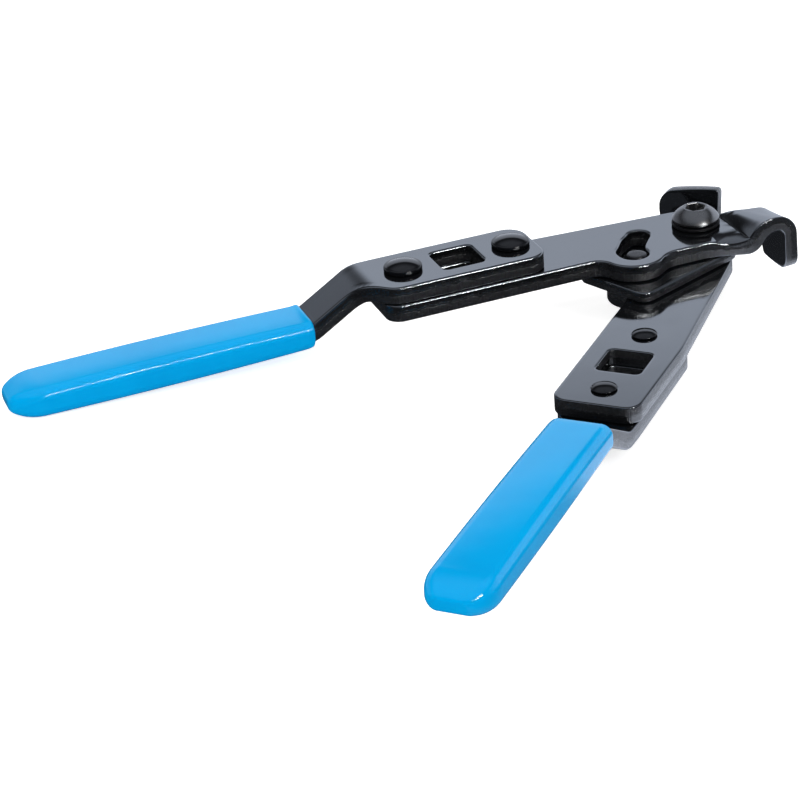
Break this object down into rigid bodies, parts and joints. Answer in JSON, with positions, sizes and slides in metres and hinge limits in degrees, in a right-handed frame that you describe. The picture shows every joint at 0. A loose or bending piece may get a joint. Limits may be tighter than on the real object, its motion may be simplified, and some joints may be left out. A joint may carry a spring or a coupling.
{
  "type": "ear clamp pliers",
  "caption": "Open ear clamp pliers with offset riveted handles, dipped grips, goose-neck jaws, a cam-driven centre plate and a square drive hole in each arm.",
  "frame": {"origin": "middle of the open tool's overall box in X and Y, at the lowest face of the tool", "axes": "+X from the handles to the jaws along the line that halves the opening, +Z along the pivot axis towards the screw's head, +Y towards the upper arm's handle"},
  "size_m": [0.2174, 0.189, 0.0298],
  "materials": {
    "coated_steel": "glossy black coating",
    "fastener_steel": "blackened, polished",
    "grip_vinyl": "glossy bright blue dipped vinyl"
  },
  "bodies": {
    "upper_arm": {"upper_jaw_plate": "coated_steel", "upper_handle_plate": "coated_steel", "upper_grip": "grip_vinyl", "upper_front_rivet": "fastener_steel", "upper_rear_rivet": "fastener_steel", "pivot_screw": "fastener_steel", "head_washer": "fastener_steel", "nut_washer": "fastener_steel", "pivot_nut": "fastener_steel"},
    "lower_arm": {"lower_jaw_plate": "coated_steel", "lower_handle_plate": "coated_steel", "lower_grip": "grip_vinyl", "lower_front_rivet": "fastener_steel", "lower_rear_rivet": "fastener_steel"},
    "centre_guide": {"pivot_bush": "fastener_steel"},
    "centre_drive": {"centre_plate": "coated_steel", "cam_pin": "fastener_steel"}
  },
  "joints": [
    {"name": "arms_close", "type": "hinge", "parent": "upper_arm", "child": "lower_arm", "pos_m": [0.08404, 0, 0.0149], "axis": [0, 0, -1], "range_deg": [0, 37]},
    {"name": "guide_turns_half", "type": "hinge", "parent": "upper_arm", "child": "centre_guide", "pos_m": [0.08404, 0, 0.0149], "axis": [0, 0, -1], "range_deg": [0, 18.5]},
    {"name": "centre_plate_slides", "type": "slide", "parent": "centre_guide", "child": "centre_drive", "axis": [1, 0, 0], "range_m": [0, 0.005]}
  ],
  "couplings": [
    {"joint": "guide_turns_half", "follows": "arms_close", "ratio": 0.5},
    {"joint": "centre_plate_slides", "follows": "arms_close", "m_per_rad": 0.00774}
  ]
}
